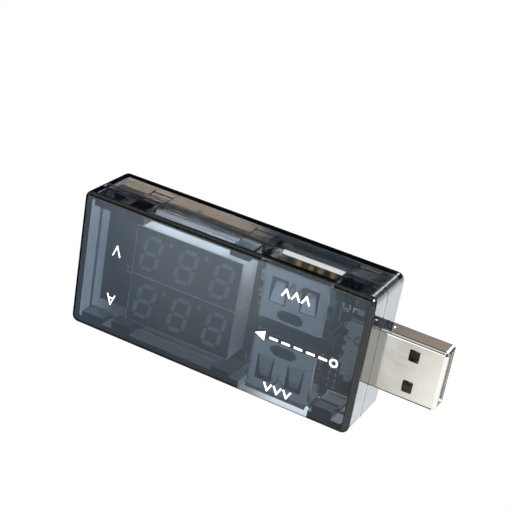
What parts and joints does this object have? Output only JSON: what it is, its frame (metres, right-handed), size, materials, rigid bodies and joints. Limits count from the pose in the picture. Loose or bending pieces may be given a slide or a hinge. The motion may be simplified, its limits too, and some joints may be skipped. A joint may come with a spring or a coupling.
{
  "type": "usb power meter",
  "caption": "Slim snap-together case with a USB plug at one end, two side-facing USB sockets and paired digital displays for volts and amps.",
  "frame": {"origin": "centre of the rear cover's flat back", "axes": "+X along the case towards the USB plug, +Y towards the long side beside the volt display, +Z out of the display face"},
  "size_m": [0.074, 0.0282, 0.0142],
  "materials": {
    "smoke_plastic": "clear smoke-grey polycarbonate, gloss",
    "white_ink": "printed ink",
    "board": "dark solder mask",
    "board_ink": "printed ink",
    "display_housing": "pale grey, satin",
    "display_film": "dark film, satin",
    "display_segments": "unlit epoxy bars",
    "nickel": "bright nickel plate",
    "socket_nickel": "satin nickel plate",
    "tinned_pins": "tinned",
    "contact_gold": "gold flash over nickel",
    "insulator": "black moulded nylon",
    "plug_plastic": "dark grey moulded nylon",
    "chip_body": "black moulded epoxy",
    "resistor_body": "coated ceramic",
    "capacitor_body": "tan ceramic"
  },
  "bodies": {
    "case": {"front_cover": "smoke_plastic", "rear_cover": "smoke_plastic", "printed_marks": "white_ink", "circuit_board": "board", "board_print": "board_ink", "volt_display_housing": "display_housing", "volt_display_film": "display_film", "volt_display_segments": "display_segments", "volt_display_pins": "tinned_pins", "amp_display_housing": "display_housing", "amp_display_film": "display_film", "amp_display_segments": "display_segments", "amp_display_pins": "tinned_pins", "plug_shell": "nickel", "plug_insulator": "plug_plastic", "plug_contacts": "contact_gold", "socket_a_shell": "socket_nickel", "socket_a_insulator": "insulator", "socket_a_contact_tails": "contact_gold", "socket_b_shell": "socket_nickel", "socket_b_insulator": "insulator", "socket_b_contact_tails": "contact_gold", "microcontroller": "chip_body", "sense_amplifier": "chip_body", "voltage_regulator": "chip_body", "shunt_resistor": "resistor_body", "chip_resistors": "resistor_body", "chip_capacitors": "capacitor_body"},
    "socket_a_contacts": {"socket_a_contact_springs": "contact_gold"},
    "socket_a_retainers": {"socket_a_retention_springs": "socket_nickel"},
    "socket_b_contacts": {"socket_b_contact_springs": "contact_gold"},
    "socket_b_retainers": {"socket_b_retention_springs": "socket_nickel"}
  },
  "joints": [
    {"name": "socket_a_contact_flex", "type": "hinge", "parent": "case", "child": "socket_a_contacts", "pos_m": [0.0148, 0.0051, 0.00935], "axis": [1, 0, 0], "range_deg": [0, 4], "stiffness_Nm_per_rad": 0.08},
    {"name": "socket_a_retention_flex", "type": "hinge", "parent": "case", "child": "socket_a_retainers", "pos_m": [0.0148, 0.0057, 0.01197], "axis": [1, 0, 0], "range_deg": [0, 6], "stiffness_Nm_per_rad": 0.06},
    {"name": "socket_b_contact_flex", "type": "hinge", "parent": "case", "child": "socket_b_contacts", "pos_m": [0.0148, -0.0051, 0.00935], "axis": [-1, 0, 0], "range_deg": [0, 4], "stiffness_Nm_per_rad": 0.08},
    {"name": "socket_b_retention_flex", "type": "hinge", "parent": "case", "child": "socket_b_retainers", "pos_m": [0.0148, -0.0057, 0.01197], "axis": [-1, 0, 0], "range_deg": [0, 6], "stiffness_Nm_per_rad": 0.06}
  ]
}
